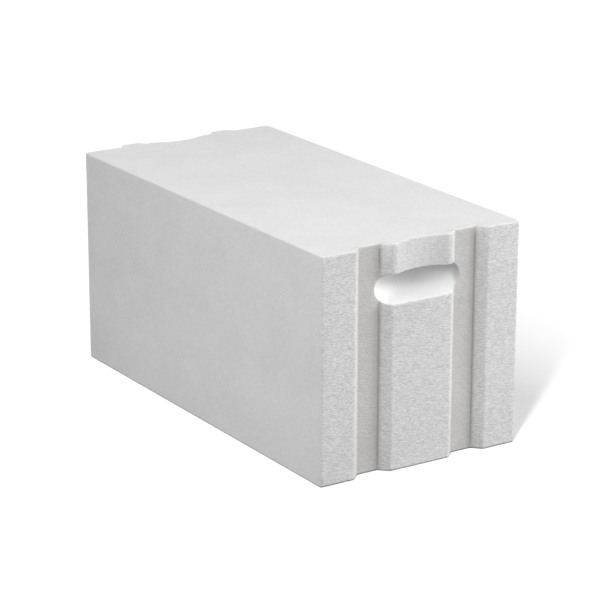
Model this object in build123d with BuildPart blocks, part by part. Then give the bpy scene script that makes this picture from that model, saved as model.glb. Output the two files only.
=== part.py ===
from build123d import *
import os

# Autoclaved aerated concrete wall block, with tongue and groove ends and hand pockets.
# Millimetres. +X runs across the wall, +Y along the block from the grooved end to the
# tongued end, +Z up. The origin is the middle of the footprint, on the floor.

# The block, measured between the flat faces that meet in the wall.
width = 250.0
length = 499.0
height = 249.0
corner_radius = 3.0         # upright corners of the ends, of the grooves and of the tongues
arris_radius = 1.0          # edges of the top and of the underside

# Two grooves in the near end and two tongues on the far end, over the full height.
groove_spacing = 121.0      # between the centre lines of the two grooves
groove_mouth = 46.0
groove_floor = 26.0
groove_depth = 10.0
mouth_play = 6.5            # a tongue's foot is this much narrower than a mouth, on each side
floor_play = 2.5            # its tip is this much narrower than a floor, on each side
end_play = 1.5              # and stops this far short of that floor
root_radius = 2.0           # inner corners, at a groove's floor and at a tongue's foot

# A hand pocket in each end, left by a disc with a round rim that is pushed into the face.
disc_radius = 60.0
pocket_depth = 43.0
pocket_height = 31.0        # the thickness of the disc
pocket_cover = 34.0         # concrete left between the pocket and the top

# The shallow scoop that runs from each pocket up through the top.
scoop_radius = 66.0
scoop_depth = 8.5

# Places worked out from the sizes above.
tongue_height = groove_depth - end_play
tongue_foot = groove_mouth - 2 * mouth_play
tongue_tip = groove_floor - 2 * floor_play
near_face = -(length + tongue_height) / 2
far_face = near_face + length
pocket_middle = height - pocket_cover - pocket_height / 2
rim_radius = pocket_height / 2
centre_lines = (-groove_spacing / 2, groove_spacing / 2)
ends = ((near_face, -1), (far_face, 1))     # each end's face, and which way is out of it


def end_corners(face, shift, wide, narrow, face_rounding, shifted_rounding):
    """Corners of one end in plan, from left to right, each with its rounding.

    A groove goes into the block and a tongue stands out of it, so in both cases the narrow
    side is shifted towards +Y from the flat face.
    """
    corners = [((-width / 2, face), corner_radius)]
    for middle in centre_lines:
        corners += [
            ((middle - wide / 2, face), face_rounding),
            ((middle - narrow / 2, face + shift), shifted_rounding),
            ((middle + narrow / 2, face + shift), shifted_rounding),
            ((middle + wide / 2, face), face_rounding),
        ]
    corners.append(((width / 2, face), corner_radius))
    return corners


grooved_end = end_corners(
    near_face, groove_depth, groove_mouth, groove_floor, corner_radius, root_radius
)
tongued_end = end_corners(
    far_face, tongue_height, tongue_foot, tongue_tip, root_radius, corner_radius
)
outline = grooved_end + tongued_end[::-1]

# The disc that shapes a pocket, about its own axis, with a fully rounded rim.
with BuildPart() as disc:
    with BuildSketch(Plane.XZ) as disc_section:
        with BuildLine():
            Polyline(
                (disc_radius - rim_radius, rim_radius),
                (0, rim_radius),
                (0, -rim_radius),
                (disc_radius - rim_radius, -rim_radius),
            )
            ThreePointArc(
                (disc_radius - rim_radius, -rim_radius),
                (disc_radius, 0),
                (disc_radius - rim_radius, rim_radius),
            )
        make_face()
    revolve(axis=Axis.Z)

with BuildPart() as block:
    # The plan with its grooves and tongues, carried up to the full height.
    with BuildSketch() as plan:
        with BuildLine():
            FilletPolyline(
                *[corner for corner, rounding in outline],
                radius=[rounding for corner, rounding in outline],
                close=True,
            )
        make_face()
    extrude(amount=height)

    # The scoop of each end, from the middle of the pocket up through the top.
    for face, outwards in ends:
        with Locations((0, face + outwards * (scoop_radius - scoop_depth), pocket_middle)):
            Cylinder(
                scoop_radius,
                height - pocket_middle,
                align=(Align.CENTER, Align.CENTER, Align.MIN),
                mode=Mode.SUBTRACT,
            )

    # The arrises of the top and of the underside.
    fillet(block.faces().filter_by(Axis.Z).edges(), arris_radius)

    # The pocket of each end.
    for face, outwards in ends:
        with Locations((0, face + outwards * (disc_radius - pocket_depth), pocket_middle)):
            add(disc.part, mode=Mode.SUBTRACT)

block.part.label = "block"
os.makedirs("parts", exist_ok=True)
export_step(block.part, "parts/block.step")
print("block", round(block.part.volume / 1e6, 3), "litres,", block.part.bounding_box().size, "mm")
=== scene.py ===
from math import cos, pi, radians, sin

import bmesh
import bpy
from mathutils import Matrix, Vector


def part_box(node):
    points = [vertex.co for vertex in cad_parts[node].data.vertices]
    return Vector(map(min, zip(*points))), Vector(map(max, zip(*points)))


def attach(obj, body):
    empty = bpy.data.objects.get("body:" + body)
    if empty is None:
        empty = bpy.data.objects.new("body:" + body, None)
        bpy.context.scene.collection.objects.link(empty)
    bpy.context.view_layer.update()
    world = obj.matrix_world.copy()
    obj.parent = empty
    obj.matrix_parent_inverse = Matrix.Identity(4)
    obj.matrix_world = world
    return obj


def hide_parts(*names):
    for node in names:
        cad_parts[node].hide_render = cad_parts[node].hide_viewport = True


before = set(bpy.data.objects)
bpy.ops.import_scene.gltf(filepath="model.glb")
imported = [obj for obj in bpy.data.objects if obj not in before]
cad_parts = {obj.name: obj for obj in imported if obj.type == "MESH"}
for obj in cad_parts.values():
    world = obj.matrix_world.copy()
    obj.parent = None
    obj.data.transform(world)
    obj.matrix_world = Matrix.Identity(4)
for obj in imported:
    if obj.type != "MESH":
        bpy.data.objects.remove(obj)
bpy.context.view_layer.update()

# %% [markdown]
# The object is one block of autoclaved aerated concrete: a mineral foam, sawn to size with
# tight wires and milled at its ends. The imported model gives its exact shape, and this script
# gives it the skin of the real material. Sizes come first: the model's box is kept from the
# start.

MM = 0.001
block_low, block_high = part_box("block")
print("block, mm:", [round(side / MM, 2) for side in block_high - block_low])

# %% [markdown]
# The camera stands where the photograph was taken from: in front of the grooved end, to its
# left, and a little above the block. Its place was found by laying the block's corners and
# edges over those in the photograph. It is far off and has a long lens, so the upright edges
# stay almost parallel.

# %% The camera
IMAGE_SIDE = 616
FOCAL_LENGTH_IN_PIXELS = 2551.0
SENSOR_WIDTH = 36.0
SIGHT_REACH = 50.0
CAMERA_PLACE = Vector((-1.4719, -2.2965, 0.9823))
CAMERA_TURN = radians(33.08)
CAMERA_DIP = radians(17.828)
CAMERA_TILT = radians(0.18)

camera_data = bpy.data.cameras.new("camera")
camera_data.sensor_width = SENSOR_WIDTH
camera_data.lens = FOCAL_LENGTH_IN_PIXELS / IMAGE_SIDE * SENSOR_WIDTH
camera_data.clip_end = SIGHT_REACH
camera = bpy.data.objects.new("camera", camera_data)
bpy.context.scene.collection.objects.link(camera)
camera.matrix_world = (
    Matrix.Translation(CAMERA_PLACE)
    @ Matrix.Rotation(-CAMERA_TURN, 4, "Z")
    @ Matrix.Rotation(pi / 2 - CAMERA_DIP, 4, "X")
    @ Matrix.Rotation(CAMERA_TILT, 4, "Z")
)
bpy.context.scene.camera = camera
bpy.context.scene.view_settings.view_transform = "Standard"
print("lens, mm:", round(camera_data.lens, 1))

# %% [markdown]
# Node trees are used three times below: for the floor, for the relief and for the finish.
# A few helpers keep them readable. Each takes numbers or the outputs of other nodes, and
# gives back an output, so that a chain of nodes reads like a formula. The first helpers place
# a node, link it and name the inputs and outputs of a tree.

# %% Helpers that place and link nodes
def add_node(tree, kind, **settings):
    """Adds one node with its settings."""
    node = tree.nodes.new(kind)
    for name, value in settings.items():
        setattr(node, name, value)
    return node


def feed(tree, socket, value):
    """Links an output to an input, or writes a constant on the input itself."""
    if isinstance(value, bpy.types.NodeSocket):
        tree.links.new(value, socket)
    else:
        socket.default_value = value


def declare(tree, way, kind, name, value=None):
    """Names one input or output of a tree."""
    socket = tree.interface.new_socket(name=name, in_out=way, socket_type=f"NodeSocket{kind}")
    if value is not None:
        socket.default_value = value


print("placing helpers ready")

# %% [markdown]
# The next ones do arithmetic. They are short words, because the trees use them often.

# %% Helpers for arithmetic
def calculate(tree, operation, *values):
    """One step of arithmetic."""
    node = add_node(tree, "ShaderNodeMath", operation=operation)
    for socket, value in zip(node.inputs, values):
        feed(tree, socket, value)
    return node.outputs[0]


def plus(tree, first, second):
    """The sum of two values."""
    return calculate(tree, "ADD", first, second)


def minus(tree, first, second):
    """The first value less the second."""
    return calculate(tree, "SUBTRACT", first, second)


def times(tree, first, second):
    """The product of two values."""
    return calculate(tree, "MULTIPLY", first, second)


def larger(tree, first, second):
    """The larger of two values."""
    return calculate(tree, "MAXIMUM", first, second)


def unsigned(tree, value):
    """A value without its sign."""
    return calculate(tree, "ABSOLUTE", value)


def vector_calculate(tree, operation, *values):
    """One step of arithmetic on vectors. SCALE takes its factor second."""
    node = add_node(tree, "ShaderNodeVectorMath", operation=operation)
    feed(tree, node.inputs[0], values[0])
    second = node.inputs["Scale"] if operation == "SCALE" else node.inputs[1]
    feed(tree, second, values[1])
    return node.outputs["Value" if operation == "DOT_PRODUCT" else "Vector"]


def parts_of(tree, vector):
    """The X, Y and Z of a vector."""
    node = add_node(tree, "ShaderNodeSeparateXYZ")
    feed(tree, node.inputs[0], vector)
    return node.outputs


print("arithmetic helpers ready")

# %% [markdown]
# The last two give a surface its variety: a soft step, which turns a measure into a mask, and
# a noise whose bumps have a real length. Most of this noise lies in a narrow range round 0.5,
# so the range has a name, and is stretched wherever all of it is wanted.

# %% Helpers for masks and noise
NOISE_RANGE = (0.3, 0.7)
NOISE_ROUGHNESS = 0.5


def ramp(tree, value, low, high, to_low=0.0, to_high=1.0):
    """A soft step: to_low below low, to_high above high."""
    node = add_node(tree, "ShaderNodeMapRange", interpolation_type="SMOOTHSTEP")
    amounts = {
        "Value": value,
        "From Min": low,
        "From Max": high,
        "To Min": to_low,
        "To Max": to_high,
    }
    for name, amount in amounts.items():
        feed(tree, node.inputs[name], amount)
    return node.outputs["Result"]


def noise(tree, position, length, seed, detail):
    """Soft noise between 0 and 1 whose bumps are about one length wide."""
    node = add_node(tree, "ShaderNodeTexNoise", noise_dimensions="4D")
    feed(tree, node.inputs["Vector"], position)
    feed(tree, node.inputs["Scale"], calculate(tree, "DIVIDE", 1.0, length))
    feed(tree, node.inputs["W"], seed)
    node.inputs["Detail"].default_value = detail
    node.inputs["Roughness"].default_value = NOISE_ROUGHNESS
    return node.outputs[0]


print("mask and noise helpers ready")

# %% [markdown]
# The floor is plain and pale. The light that the block gets back from it and the picture of
# it that the camera sees want different things: the photograph's floor is pure white, while
# its bounce has to stay gentle. So there are two sheets in one place. One is only looked at,
# and keeps the block's shadow. The other is never looked at, and only bounces light.

# %% The two floors
FLOOR_REACH = 20.0
FLOOR_GAP = 0.2 * MM
SEEN_FLOOR_GREY = 0.42
SEEN_FLOOR_OWN_LIGHT = 0.59
BOUNCE_FLOOR_GREY = 0.9


def floor_sheet(name, height, grey):
    """A wide flat sheet with a plain matt material."""
    ways = [(-1, -1), (1, -1), (1, 1), (-1, 1)]
    corners = [(FLOOR_REACH * x, FLOOR_REACH * y, height) for x, y in ways]
    mesh = bpy.data.meshes.new(name)
    mesh.from_pydata(corners, [], [(0, 1, 2, 3)])
    sheet = bpy.data.objects.new(name, mesh)
    bpy.context.scene.collection.objects.link(sheet)
    material = bpy.data.materials.new(name)
    material.use_nodes = True
    matt = material.node_tree.nodes["Principled BSDF"]
    matt.inputs["Base Color"].default_value = (grey, grey, grey, 1.0)
    matt.inputs["Roughness"].default_value = 1.0
    matt.inputs["Specular IOR Level"].default_value = 0.0
    mesh.materials.append(material)
    return sheet


seen_floor = floor_sheet("seen_floor", 0.0, SEEN_FLOOR_GREY)
seen_floor.visible_diffuse = False
seen_floor.visible_shadow = False

bounce_floor = floor_sheet("bounce_floor", -FLOOR_GAP, BOUNCE_FLOOR_GREY)
bounce_floor.visible_camera = False
bounce_floor.visible_glossy = False
bounce_floor.visible_transmission = False
print("floors:", seen_floor.name, bounce_floor.name)

# %% [markdown]
# The white around the block is made without more light on it. Light Path tells the rays by
# which something is looked at from those that carry light. Only for the first kind does the
# floor have a light of its own, and is the world at full white.

# %% White to look at
WORLD_STRENGTH = 0.1


def looked_at(tree):
    """1 for the rays by which a picture of something is seen, 0 for those that carry light."""
    path = add_node(tree, "ShaderNodeLightPath").outputs
    mirrored = larger(tree, path["Is Glossy Ray"], path["Is Transmission Ray"])
    return larger(tree, path["Is Camera Ray"], mirrored)


seen_tree = seen_floor.data.materials[0].node_tree
seen_shader = seen_tree.nodes["Principled BSDF"]
seen_shader.inputs["Emission Color"].default_value = (1.0, 1.0, 1.0, 1.0)
own_light = times(seen_tree, looked_at(seen_tree), SEEN_FLOOR_OWN_LIGHT)
feed(seen_tree, seen_shader.inputs["Emission Strength"], own_light)

world = bpy.data.worlds.new("world")
bpy.context.scene.world = world
world.use_nodes = True
world_tree = world.node_tree
background = world_tree.nodes["Background"]
background.inputs["Color"].default_value = (1.0, 1.0, 1.0, 1.0)
extra_white = times(world_tree, looked_at(world_tree), 1.0 - WORLD_STRENGTH)
feed(world_tree, background.inputs["Strength"], plus(world_tree, extra_white, WORLD_STRENGTH))
print("world strength:", WORLD_STRENGTH)

# %% [markdown]
# There are two kinds of lamp. A far one lights everything at the same level, and its softness
# is the angle that it fills in the sky. A near one fades over the length of the block. Each is
# linked to what it lights, so that the block and the seen floor can be lit apart.

# %% Helpers for the lamps
for_block = bpy.data.collections.new("for_block")
for_seen_floor = bpy.data.collections.new("for_seen_floor")
for_seen_floor.objects.link(seen_floor)


def hang_lamp(name, data, receivers):
    """Puts a lamp into the scene and links it to what it lights."""
    lamp = bpy.data.objects.new(name, data)
    bpy.context.scene.collection.objects.link(lamp)
    lamp.light_linking.receiver_collection = receivers
    return lamp


def far_lamp(name, receivers, azimuth, elevation, softness, level):
    """A far lamp, with its angles in degrees. Azimuth 0 faces the grooved end, and 90 the right
    side. At level 1 a white sheet that faces the lamp renders as white.
    """
    data = bpy.data.lights.new(name, "SUN")
    data.energy = pi * level
    data.angle = radians(softness)
    lamp = hang_lamp(name, data, receivers)
    turn = radians(azimuth)
    rise = radians(elevation)
    towards = Vector((sin(turn) * cos(rise), -cos(turn) * cos(rise), sin(rise)))
    lamp.rotation_euler = towards.to_track_quat("Z", "Y").to_euler()


def near_lamp(name, place, aim, size, power):
    """A round lamp close to the block, in metres and watts."""
    data = bpy.data.lights.new(name, "AREA")
    data.shape = "DISK"
    data.size = size
    data.energy = power
    lamp = hang_lamp(name, data, for_block)
    lamp.location = place
    lamp.rotation_euler = (Vector(place) - Vector(aim)).to_track_quat("Z", "Y").to_euler()


print("lamp helpers ready")

# %% [markdown]
# Soft studio light, with its levels matched to the photograph face by face. The key comes from
# the right of the grooved end, and two weak far lamps fill in from the left. Near lamps stand
# in front of the end, on its right and beside the long side. These make the faces fade towards
# the floor and the far end. A far lamp from behind and a near one above even out the top.

# %% Lamps for the block
END_AIM = (0.0, -0.25, 0.12)
SIDE_AIM = (-0.125, 0.0, 0.12)
TOP_AIM = (0.0, -0.1, 0.25)

far_lamp("key", for_block, azimuth=55, elevation=30, softness=25, level=0.289)
far_lamp("left_fill", for_block, azimuth=318, elevation=35, softness=30, level=0.26)
far_lamp("side_fill", for_block, azimuth=285, elevation=15, softness=50, level=0.095)
far_lamp("back", for_block, azimuth=180, elevation=30, softness=40, level=0.36)
near_lamp("front", place=(0.6, -1.5, 1.1), aim=END_AIM, size=0.8, power=5.4)
near_lamp("right", place=(1.3, -0.9, 0.5), aim=END_AIM, size=0.6, power=8.8)
near_lamp("side", place=(-1.1, -0.32, 0.65), aim=SIDE_AIM, size=0.8, power=5.4)
near_lamp("top", place=(0.35, -0.6, 1.6), aim=TOP_AIM, size=1.2, power=3.2)

# %% [markdown]
# The photograph's shadow lies behind the block on the right. It is firm along its near side
# and fades out at its far end, as under one tall and narrow lamp. A column of small lamps, one
# over the other, gives the same shadow. They shine on the seen floor alone.

# %% Lamps for the seen floor
FLOOR_LAMP_AZIMUTH = 310
FLOOR_LAMP_RISES = range(30, 61, 5)
FLOOR_LAMP_SOFTNESS = 5
FLOOR_LAMP_LEVEL = 0.99

for rise in FLOOR_LAMP_RISES:
    far_lamp(
        f"floor_lamp_{rise}",
        for_seen_floor,
        azimuth=FLOOR_LAMP_AZIMUTH,
        elevation=rise,
        softness=FLOOR_LAMP_SOFTNESS,
        level=FLOOR_LAMP_LEVEL / len(FLOOR_LAMP_RISES) / sin(radians(rise)),
    )
print("lamps for the floor:", len(FLOOR_LAMP_RISES))

# %% [markdown]
# The finish has different zones. Wires saw the long sides, the top and the bed face, and
# leave them fairly smooth. The ends are milled with their grooves and tongues, which tears
# the foam and leaves a coarser grain. The hand pockets are cut by a fine disc, and are the
# smoothest part. They are also the whitest, as painted light in their lower part. These are
# the places that the zones are found from.

# %% Places of the pockets and the grooves
DISC_RADIUS = 60 * MM
POCKET_DEPTH = 43 * MM
POCKET_HEIGHT = 31 * MM
POCKET_COVER = 34 * MM
SCOOP_RADIUS = 66 * MM
SCOOP_DEPTH = 8.5 * MM
TONGUE_HEIGHT = 8.5 * MM
GROOVE_SPACING = 121 * MM
GROOVE_MOUTH = 46 * MM
GROOVE_DEPTH = 10 * MM

near_face = block_low.y
far_face = block_high.y - TONGUE_HEIGHT
pocket_middle = block_high.z - POCKET_COVER - POCKET_HEIGHT / 2
rim_radius = POCKET_HEIGHT / 2
ends = ((near_face, -1), (far_face, 1))
print("end faces, mm:", [round(face / MM, 2) for face, outwards in ends])

# %% [markdown]
# The relief is a shape of its own, so it is geometry: the blunt and slightly crumbled
# arrises, the largest open pores, and the faint waves of the saw. It follows the surface, so
# a Geometry Nodes tree makes it. Every shift goes into the block, never out of it, which
# keeps the real size.

# %% The relief tree and its inputs
relief = bpy.data.node_groups.new("block_relief", "GeometryNodeTree")
relief.is_modifier = True
declare(relief, "INPUT", "Geometry", "Geometry")
declare(relief, "INPUT", "Int", "Arris Reach", 5)
declare(relief, "INPUT", "Int", "Corner Reach", 16)
relief_sizes = {
    "Arris Sharpness": 0.3 * MM,
    "Arris Wear": 0.15,
    "Wear Length": 9 * MM,
    "Crumb Depth": 0.6 * MM,
    "Crumb Length": 5 * MM,
    "Wave Depth": 0.15 * MM,
    "Wave Length": 90 * MM,
    "Pore Spacing": 9 * MM,
    "Pore Radius": 1.7 * MM,
    "Pore Depth": 0.8 * MM,
    "Seed": 0.0,
}
for name, size in relief_sizes.items():
    declare(relief, "INPUT", "Float", name, size)
declare(relief, "INPUT", "Material", "Finish")
declare(relief, "OUTPUT", "Geometry", "Geometry")
given = add_node(relief, "NodeGroupInput").outputs
position = add_node(relief, "GeometryNodeInputPosition").outputs[0]
normal = add_node(relief, "GeometryNodeInputNormal").outputs[0]
print("relief inputs:", [item.name for item in relief.interface.items_tree])

# %% [markdown]
# The tree finds the arrises by itself. Where the surface is blurred, an outer corner sinks,
# and how far it sinks says how sharp it is. An inner corner rises in the same way. It gets
# more rounds of blurring, because the painted shade in it has to reach further.

# %% Finding the arrises and the inner corners
def blurred_shift(rounds):
    """How far, and which way, some rounds of blurring move each point."""
    blur = add_node(relief, "GeometryNodeBlurAttribute", data_type="FLOAT_VECTOR")
    feed(relief, blur.inputs["Value"], position)
    feed(relief, blur.inputs["Iterations"], rounds)
    return vector_calculate(relief, "SUBTRACT", blur.outputs["Value"], position)


pull = blurred_shift(given["Arris Reach"])
sunk = times(relief, vector_calculate(relief, "DOT_PRODUCT", pull, normal), -1.0)
arris = ramp(relief, sunk, 0.0, given["Arris Sharpness"])
raised = vector_calculate(relief, "DOT_PRODUCT", blurred_shift(given["Corner Reach"]), normal)
print("arrises and corners found in", relief.name)

# %% [markdown]
# Wear comes in patches: an arris is rubbed round here and still crisp there. On top of that
# small crumbs have broken out of it. Both are noise, held back to the arrises by the mask.

# %% Worn and crumbled arrises
LEAST_WEAR = 0.25
CRUMB_SEED_STEP = 7.0
CRUMB_EDGE = 0.6
CRUMB_MIDDLE = 0.72

wear_noise = noise(relief, position, given["Wear Length"], given["Seed"], detail=3.0)
wear = times(relief, ramp(relief, wear_noise, *NOISE_RANGE, to_low=LEAST_WEAR), arris)
worn_shift = vector_calculate(relief, "SCALE", pull, times(relief, wear, given["Arris Wear"]))

crumb_seed = plus(relief, given["Seed"], CRUMB_SEED_STEP)
crumb_noise = noise(relief, position, given["Crumb Length"], crumb_seed, detail=2.0)
crumb = times(relief, ramp(relief, crumb_noise, CRUMB_EDGE, CRUMB_MIDDLE), arris)
crumb_shift = times(relief, crumb, given["Crumb Depth"])
print("wear and crumbs added:", len(relief.nodes), "nodes")

# %% [markdown]
# The pores of the foam are small balls, spread evenly through the body, and a cut opens
# those that it meets. A Voronoi texture has one point in each cell, and a ball round each of
# these points gives the same picture: the surface sinks where it is inside a ball. The cells
# have a colour of their own at random, which sets the size of each ball. Pores are shallower
# on the sawn faces than on the milled ends, and the fine disc leaves none in its slot.

# %% Open pores
SMALLEST_PORE = 0.35
PORE_BOTTOM = 0.35
PORES_ON_SAWN_FACES = 0.35
PORES_ON_ENDS = 0.6
SAWN_TO_END = (0.2, 0.6)
POCKET_MARGIN = 1 * MM

cells = add_node(relief, "ShaderNodeTexVoronoi")
feed(relief, cells.inputs["Vector"], position)
feed(relief, cells.inputs["Scale"], calculate(relief, "DIVIDE", 1.0, given["Pore Spacing"]))
from_point = times(relief, cells.outputs["Distance"], given["Pore Spacing"])
chance = parts_of(relief, cells.outputs["Color"])["X"]
ball = times(relief, ramp(relief, chance, 0.0, 1.0, to_low=SMALLEST_PORE), given["Pore Radius"])
share_of_ball = calculate(relief, "DIVIDE", from_point, ball)
pore = ramp(relief, share_of_ball, PORE_BOTTOM, 1.0, to_low=1.0, to_high=0.0)

end_facing = unsigned(relief, parts_of(relief, normal)["Y"])
shown = ramp(relief, end_facing, *SAWN_TO_END, PORES_ON_SAWN_FACES, PORES_ON_ENDS)
point = parts_of(relief, position)
off_middle = unsigned(relief, minus(relief, point["Z"], pocket_middle))
over_or_under = calculate(relief, "GREATER_THAN", off_middle, rim_radius + POCKET_MARGIN)
beside = calculate(relief, "GREATER_THAN", unsigned(relief, point["X"]), DISC_RADIUS)
pore = times(relief, pore, larger(relief, over_or_under, beside))
pore_shift = times(relief, times(relief, pore, shown), given["Pore Depth"])
print("relief tree so far:", len(relief.nodes), "nodes")

# %% [markdown]
# The wires leave faint waves. Then all shifts are added up and carried out once. Two measures
# are kept on the mesh, because the finish needs them too: how far each point sank as an arris
# and how far it rose as an inner corner.

# %% Saw waves and the end of the relief tree
def keep_value(geometry, name, value):
    """Stores a value on every point, under a name that the finish can read."""
    store = add_node(relief, "GeometryNodeStoreNamedAttribute", data_type="FLOAT", domain="POINT")
    feed(relief, store.inputs["Geometry"], geometry)
    store.inputs["Name"].default_value = name
    feed(relief, store.inputs["Value"], value)
    return store.outputs["Geometry"]


wave_noise = noise(relief, position, given["Wave Length"], given["Seed"], detail=1.0)
wave_shift = times(relief, wave_noise, given["Wave Depth"])
inwards = plus(relief, plus(relief, crumb_shift, pore_shift), wave_shift)
cut_shift = vector_calculate(relief, "SCALE", normal, times(relief, inwards, -1.0))

measured = keep_value(given["Geometry"], "sunk", sunk)
measured = keep_value(measured, "raised", raised)
move = add_node(relief, "GeometryNodeSetPosition")
feed(relief, move.inputs["Geometry"], measured)
feed(relief, move.inputs["Offset"], vector_calculate(relief, "ADD", worn_shift, cut_shift))
real = add_node(relief, "GeometryNodeRealizeInstances")
feed(relief, real.inputs["Geometry"], move.outputs["Geometry"])
finish = add_node(relief, "GeometryNodeSetMaterial")
feed(relief, finish.inputs["Geometry"], real.outputs["Geometry"])
feed(relief, finish.inputs["Material"], given["Finish"])
result = add_node(relief, "NodeGroupOutput")
feed(relief, result.inputs["Geometry"], finish.outputs["Geometry"])
print("relief tree:", len(relief.nodes), "nodes")

# %% [markdown]
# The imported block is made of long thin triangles, which can't carry fine relief. A copy of
# it is merged into one closed skin, a voxel remesh covers it with even squares, and the
# relief goes on those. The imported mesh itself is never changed.

# %% A closed skin with the relief on it
VOXEL = 1.0 * MM
MERGE_DISTANCE = 0.001 * MM
RELIEF_SEED = 3.0

aerated_concrete = bpy.data.materials.new("aerated_concrete")
bare_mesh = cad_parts["block"].data.copy()
merger = bmesh.new()
merger.from_mesh(bare_mesh)
bmesh.ops.remove_doubles(merger, verts=merger.verts, dist=MERGE_DISTANCE)
merger.to_mesh(bare_mesh)
merger.free()
bare = bpy.data.objects.new("bare_block", bare_mesh)
bpy.context.scene.collection.objects.link(bare)

remesh = bare.modifiers.new("even squares", "REMESH")
remesh.mode = "VOXEL"
remesh.voxel_size = VOXEL
remesh.use_smooth_shade = True
dress = bare.modifiers.new("relief", "NODES")
dress.node_group = relief
relief_values = {"Seed": RELIEF_SEED, "Finish": aerated_concrete}
for item in relief.interface.items_tree:
    if item.name in relief_values:
        dress[item.identifier] = relief_values[item.name]
print("modifiers:", [modifier.name for modifier in bare.modifiers])

# %% [markdown]
# Even squares of one millimetre are far too many on the flat faces. A last modifier joins
# triangles again where the surface is flat, so that most of them end up at the arrises, pores
# and pockets. The result becomes a plain mesh, and the modifiers go with the bare block.

# %% The dressed block
MOST_TRIANGLES = 188_000


def finished_mesh(item):
    """The plain mesh that an object has once its modifiers have run."""
    depsgraph = bpy.context.evaluated_depsgraph_get()
    return bpy.data.meshes.new_from_object(item.evaluated_get(depsgraph))


def triangles_in(mesh):
    """How many triangles a mesh makes."""
    return sum(len(face.vertices) - 2 for face in mesh.polygons)


even_mesh = finished_mesh(bare)
even_triangles = triangles_in(even_mesh)
bpy.data.meshes.remove(even_mesh)
thin_out = bare.modifiers.new("thin out", "DECIMATE")
thin_out.ratio = min(1.0, MOST_TRIANGLES / even_triangles)
dressed_mesh = finished_mesh(bare)
bpy.data.objects.remove(bare)
dressed_mesh.name = "dressed_block"
dressed = bpy.data.objects.new("dressed_block", dressed_mesh)
bpy.context.scene.collection.objects.link(dressed)
for_block.objects.link(dressed)
print("triangles:", even_triangles, "before,", triangles_in(dressed_mesh), "after thinning out")

# %% [markdown]
# One finish group is used at several sizes: grain, which is noise that can be drawn out
# sideways. The streaks on the ends run level, because the milling heads turn about upright
# axles. The group takes real lengths, so each use says how large its grain is.

# %% The grain group
grain = bpy.data.node_groups.new("foam_grain", "ShaderNodeTree")
declare(grain, "INPUT", "Vector", "Position")
declare(grain, "INPUT", "Float", "Length", 3 * MM)
declare(grain, "INPUT", "Float", "Streak", 1.0)
declare(grain, "INPUT", "Float", "Seed", 0.0)
declare(grain, "OUTPUT", "Float", "Value")
grain_given = add_node(grain, "NodeGroupInput").outputs
drawn_out = add_node(grain, "ShaderNodeCombineXYZ")
sideways = calculate(grain, "DIVIDE", 1.0, grain_given["Streak"])
feed(grain, drawn_out.inputs["X"], sideways)
feed(grain, drawn_out.inputs["Y"], sideways)
drawn_out.inputs["Z"].default_value = 1.0
grain_place = vector_calculate(grain, "MULTIPLY", grain_given["Position"], drawn_out.outputs[0])
grain_value = noise(grain, grain_place, grain_given["Length"], grain_given["Seed"], detail=1.0)
feed(grain, add_node(grain, "NodeGroupOutput").inputs["Value"], grain_value)
print("grain group:", [item.name for item in grain.interface.items_tree])

# %% [markdown]
# The second group says where the disc has milled: inside the slot of a pocket, or on the
# shallow scoop above it. Both are found from the distance to an upright axle. The disc's rim
# is round in section, so near it the distance is taken from the rim's own circle.

# %% The milled zones group: pockets and scoops
EDGE_MARGIN = 0.5 * MM

zones = bpy.data.node_groups.new("milled_zones", "ShaderNodeTree")
declare(zones, "INPUT", "Vector", "Position")
for name in ("Pocket", "Scoop", "Groove"):
    declare(zones, "OUTPUT", "Float", name)
zone_place = parts_of(zones, add_node(zones, "NodeGroupInput").outputs["Position"])
zone_result = add_node(zones, "NodeGroupOutput").inputs


def distance(first, second):
    """The long side of a right-angled triangle."""
    second_squared = times(zones, second, second)
    return calculate(zones, "SQRT", calculate(zones, "MULTIPLY_ADD", first, first, second_squared))


def from_axle(axle_y):
    """Distance from an upright axle on the middle plane of the block."""
    return distance(minus(zones, zone_place["Y"], axle_y), zone_place["X"])


above_middle = minus(zones, zone_place["Z"], pocket_middle)
in_pocket = 0.0
on_scoop = 0.0
for face, outwards in ends:
    from_disc_axle = from_axle(face + outwards * (DISC_RADIUS - POCKET_DEPTH))
    past_flat = larger(zones, minus(zones, from_disc_axle, DISC_RADIUS - rim_radius), 0.0)
    from_rim = distance(past_flat, above_middle)
    in_disc = ramp(zones, from_rim, rim_radius, rim_radius + EDGE_MARGIN, to_low=1.0, to_high=0.0)
    in_pocket = larger(zones, in_pocket, in_disc)
    from_scoop_axle = from_axle(face + outwards * (SCOOP_RADIUS - SCOOP_DEPTH))
    scoop_edge = SCOOP_RADIUS + EDGE_MARGIN
    in_scoop = ramp(zones, from_scoop_axle, SCOOP_RADIUS, scoop_edge, to_low=1.0, to_high=0.0)
    on_scoop = larger(zones, on_scoop, in_scoop)
over_slot = ramp(zones, above_middle, 0.0, EDGE_MARGIN)
feed(zones, zone_result["Pocket"], in_pocket)
feed(zones, zone_result["Scoop"], times(zones, on_scoop, over_slot))
print("milled zones so far:", len(zones.nodes), "nodes")

# %% [markdown]
# In the photograph the floors of the two grooves are a little darker and calmer than the flat
# strips beside them. Here their darkness is painted shade. The same group marks them: nearly
# as deep as the floor of a groove, and within its mouth.

# %% The milled zones group: groove floors
FLOOR_BAND = 3 * MM

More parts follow.
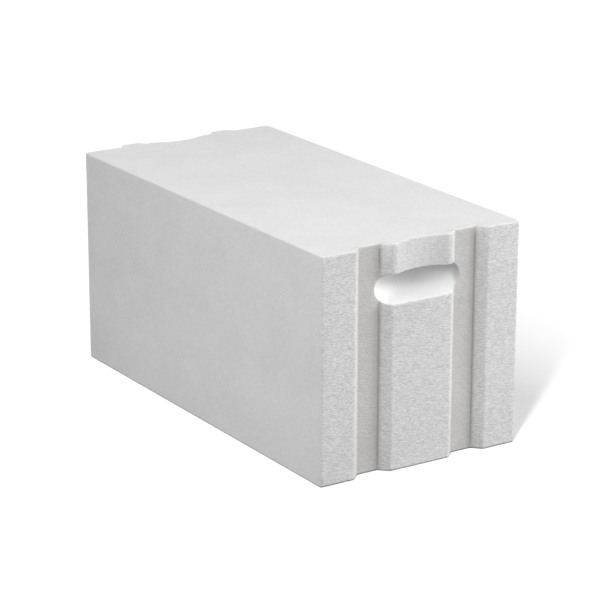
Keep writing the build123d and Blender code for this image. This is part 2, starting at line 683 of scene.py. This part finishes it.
depth_here = minus(zones, zone_place["Y"], near_face)
in_depth = ramp(zones, depth_here, GROOVE_DEPTH - FLOOR_BAND, GROOVE_DEPTH - EDGE_MARGIN)
in_reach = calculate(zones, "LESS_THAN", depth_here, GROOVE_DEPTH + EDGE_MARGIN)
off_centre = unsigned(zones, minus(zones, unsigned(zones, zone_place["X"]), GROOVE_SPACING / 2))
in_width = calculate(zones, "LESS_THAN", off_centre, GROOVE_MOUTH / 2)
in_groove = times(zones, times(zones, in_depth, in_width), in_reach)
feed(zones, zone_result["Groove"], in_groove)
print("milled zones:", len(zones.nodes), "nodes")

# %% [markdown]
# The material puts the zones together. Aerated concrete is a pale grey, dry and fully matt.
# First come the places: which way the surface faces, where it is on the block, and what has
# milled it there.

# %% The material and its zones
END_TURN = (0.3, 0.6)
LEVEL_TURN = (0.5, 0.8)

aerated_concrete.use_nodes = True
concrete = aerated_concrete.node_tree


def use_group(group, **values):
    """Places a group in the material with its own values."""
    node = add_node(concrete, "ShaderNodeGroup", node_tree=group)
    for name, value in values.items():
        feed(concrete, node.inputs[name], value)
    return node.outputs


object_place = add_node(concrete, "ShaderNodeTexCoord").outputs
place = object_place["Object"]
place_parts = parts_of(concrete, place)
direction = parts_of(concrete, object_place["Normal"])
end_facing = unsigned(concrete, direction["Y"])
end_zone = ramp(concrete, end_facing, *END_TURN)
level_zone = ramp(concrete, unsigned(concrete, direction["Z"]), *LEVEL_TURN)
milled = use_group(zones, Position=place)
print("zones from the group:", [output.name for output in milled])

# %% [markdown]
# Two masks come from the measures that the relief tree has kept. Arrises are painted whiter,
# partly as rubbed wear and partly as a painted highlight, most of all the top edge of an end,
# which is a painted highlight. Inner corners get painted shade: in the photograph that shows
# in the right corner of each groove, and hardly in the left one. The foot of the block gets a
# line of painted shade where it meets the floor. The lower part of a pocket is painted white
# as painted light, and its roof grey as painted shade.

# %% Masks for edges, painted shade and painted light
ARRIS_SINKING = (0.15 * MM, 0.6 * MM)
EDGE_OUTWARD_TURN = (0.1, 0.4)
EDGE_UPWARD_TURN = (0.2, 0.5)
CORNER_RISING = (0.08 * MM, 0.7 * MM)
CENTRE_BLUR = 4 * MM
LEFT_CORNER_SHARE = 0.25
FOOT_HEIGHTS = (0.7 * MM, 2.5 * MM)
POCKET_LIGHT_HEIGHTS = (-4 * MM, 13 * MM)
POCKET_LIGHT_WIDTHS = (48 * MM, 52 * MM)


def kept_value(name):
    """A measure that the relief tree has stored on the mesh."""
    return add_node(concrete, "ShaderNodeAttribute", attribute_name=name).outputs["Fac"]


arris_mask = ramp(concrete, kept_value("sunk"), *ARRIS_SINKING)
end_edge = ramp(concrete, end_facing, *EDGE_OUTWARD_TURN)
top_edge = times(concrete, ramp(concrete, direction["Z"], *EDGE_UPWARD_TURN), end_edge)
# Painted highlight along the top edge of an end.
top_arris_highlight = times(concrete, arris_mask, top_edge)

off_middle_plane = unsigned(concrete, place_parts["X"])
which_side = calculate(concrete, "SIGN", place_parts["X"])
past_centre_line = times(concrete, minus(concrete, off_middle_plane, GROOVE_SPACING / 2), which_side)
corner_share = ramp(concrete, past_centre_line, -CENTRE_BLUR, CENTRE_BLUR, to_low=LEFT_CORNER_SHARE)
# Painted shade in the inner corners, weaker in the left corner of each groove.
corner_shade_mask = ramp(concrete, kept_value("raised"), *CORNER_RISING)
corner_shade_mask = times(concrete, corner_shade_mask, corner_share)

# Painted shade: a dark line at the foot, where the block meets the floor.
foot_shade_mask = ramp(concrete, place_parts["Z"], *FOOT_HEIGHTS, to_low=1.0, to_high=0.0)
# The pocket's lower part gets painted light, and its roof painted shade.
up_from_middle = minus(concrete, place_parts["Z"], pocket_middle)
pocket_light_low = ramp(concrete, up_from_middle, *POCKET_LIGHT_HEIGHTS, to_low=1.0, to_high=0.0)
pocket_light_inside = ramp(concrete, off_middle_plane, *POCKET_LIGHT_WIDTHS, to_low=1.0, to_high=0.0)
pocket_light_mask = times(concrete, pocket_light_low, pocket_light_inside)
print("masks ready:", len(concrete.nodes), "nodes")

# %% [markdown]
# The colour varies very little. Clouds, specks and streaks are the same grain at different
# lengths. Specks belong to the sawn faces and streaks to the milled ends, where groove floors
# and scoops have fewer of them.

# %% Grain of the surface
CLOUD_TINT = 0.012
SPECK_TINT = 0.02
STREAK_TINT = 0.115
CALM_SHARE = 0.5
SCOOP_CALM = 0.6


def blend(low, high, factor):
    """From low to high as the factor goes from 0 to 1."""
    node = add_node(concrete, "ShaderNodeMix", data_type="FLOAT")
    for name, value in (("Factor", factor), ("A", low), ("B", high)):
        feed(concrete, node.inputs[name], value)
    return node.outputs["Result"]


def tint_of(value, strength):
    """Turns noise into a shade, darker or paler by the strength at most."""
    return ramp(concrete, value, *NOISE_RANGE, to_low=-strength, to_high=strength)


clouds = use_group(grain, Position=place, Length=45 * MM, Seed=1.0)["Value"]
specks = use_group(grain, Position=place, Length=3.0 * MM, Seed=2.0)["Value"]
streaks = use_group(grain, Position=place, Length=0.85 * MM, Streak=4.0, Seed=5.0)["Value"]
fine = use_group(grain, Position=place, Length=0.7 * MM, Seed=9.0)["Value"]

calm_zone = larger(concrete, milled["Groove"], times(concrete, milled["Scoop"], SCOOP_CALM))
calm = blend(1.0, CALM_SHARE, calm_zone)
streak_tint = times(concrete, tint_of(streaks, STREAK_TINT), calm)
grain_tint = blend(tint_of(specks, SPECK_TINT), streak_tint, end_zone)
tint = plus(concrete, grain_tint, tint_of(clouds, CLOUD_TINT))
print("grain added:", len(concrete.nodes), "nodes")

# %% [markdown]
# The grey is built up like coats of paint, each held to its zone by a mask. Towards the floor
# it darkens as painted shade, and the groove floors and inner corners get painted shade.
# Arrises get rubbed wear and painted highlight. The last coats are the pockets, from a roof
# grey with painted shade to a lower part white with painted light, and the painted shade line
# of the foot. The painted shade in the corners and on the groove floors is a little warmer
# than the rest.

# %% The colour
SAWN_GREY = 0.78
# Painted light and shade among these: the pocket roof grey is painted shade and its floor white
# painted light; the low, groove floor, hollow and foot shares are painted shade; the arris white and
# coats are partly wear and partly painted highlight.
POCKET_ROOF_SHADE = 0.66
POCKET_FLOOR_LIGHT = 0.97
WORN_AND_LIT_ARRIS_WHITE = 0.96
LOW_REACH = 70 * MM
LOW_SHARE = 0.935
GROOVE_FLOOR_SHADE = 0.87
CORNER_SHADE_SHARE = 0.42
FOOT_SHADE_SHARE = 0.42
ARRIS_COAT = 0.06
TOP_ARRIS_HIGHLIGHT = 0.6
GROOVE_WARMTH = 0.25
WARM_GREEN = 0.94
WARM_BLUE = 0.9


def hold_back(value, share, mask):
    """Leaves only a share of a value where the mask is 1."""
    return blend(value, times(concrete, value, share), mask)


grey = plus(concrete, SAWN_GREY, tint)
# Painted shade: the grey darkens towards the floor over the low reach.
painted_low_shade = ramp(concrete, place_parts["Z"], 0.0, LOW_REACH, to_low=LOW_SHARE)
grey = times(concrete, grey, painted_low_shade)
# Painted shade on the groove floors: they are held a little darker.
grey = hold_back(grey, GROOVE_FLOOR_SHADE, milled["Groove"])
# Painted shade in the inner corners.
grey = hold_back(grey, CORNER_SHADE_SHARE, corner_shade_mask)
# Arrises are painted whiter: partly rubbed wear, partly painted highlight. The next line paints a
# stronger highlight on the top edge of an end.
grey = blend(grey, WORN_AND_LIT_ARRIS_WHITE, times(concrete, arris_mask, ARRIS_COAT))
grey = blend(grey, WORN_AND_LIT_ARRIS_WHITE, times(concrete, top_arris_highlight, TOP_ARRIS_HIGHLIGHT))
# Pockets: a roof grey with painted shade, and a lower part white with painted light.
grey = blend(grey, blend(POCKET_ROOF_SHADE, POCKET_FLOOR_LIGHT, pocket_light_mask), milled["Pocket"])
# Painted shade along the foot.
grey = hold_back(grey, FOOT_SHADE_SHARE, foot_shade_mask)

# The painted shade in the corners and on the groove floors is a little warmer.
warm_zone = larger(concrete, corner_shade_mask, times(concrete, milled["Groove"], GROOVE_WARMTH))
warmth = times(concrete, warm_zone, minus(concrete, 1.0, milled["Pocket"]))
colour = add_node(concrete, "ShaderNodeCombineXYZ")
feed(concrete, colour.inputs["X"], grey)
feed(concrete, colour.inputs["Y"], hold_back(grey, WARM_GREEN, warmth))
feed(concrete, colour.inputs["Z"], hold_back(grey, WARM_BLUE, warmth))
shader = concrete.nodes["Principled BSDF"]
feed(concrete, shader.inputs["Base Color"], colour.outputs[0])
print("colour ready:", len(concrete.nodes), "nodes")

# %% [markdown]
# Most of what the eye reads as texture is fine relief, too small for the mesh, so a Bump node
# adds it at its real height. It is strongest on the milled ends, weak on the sawn sides and
# weakest on the top and in what the fine disc has cut. The dry surface hardly shines.

# %% Bump and sheen
BUMP_HEIGHT = 0.5 * MM
FINE_SHARE = 0.15
BUMP_ON_ENDS = 1.0
BUMP_ON_SIDES = 0.45
BUMP_ON_TOP = 0.08
BUMP_IN_CUTS = 0.15
SCOOP_CUT = 0.35

coarse_height = blend(specks, streaks, end_zone)
height = calculate(concrete, "MULTIPLY_ADD", fine, FINE_SHARE, coarse_height)
disc_cut = larger(concrete, milled["Pocket"], times(concrete, milled["Scoop"], SCOOP_CUT))
strength = blend(BUMP_ON_SIDES, BUMP_ON_TOP, level_zone)
strength = blend(strength, BUMP_ON_ENDS, end_zone)
strength = blend(strength, BUMP_IN_CUTS, disc_cut)
bump = add_node(concrete, "ShaderNodeBump")
bump.inputs["Distance"].default_value = BUMP_HEIGHT
feed(concrete, bump.inputs["Height"], times(concrete, height, strength))
feed(concrete, shader.inputs["Normal"], bump.outputs["Normal"])
shader.inputs["Roughness"].default_value = 0.95
shader.inputs["Specular IOR Level"].default_value = 0.15
print("material:", len(concrete.nodes), "nodes")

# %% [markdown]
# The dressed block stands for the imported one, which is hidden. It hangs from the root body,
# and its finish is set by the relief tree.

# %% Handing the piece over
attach(dressed, "root")
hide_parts("block")
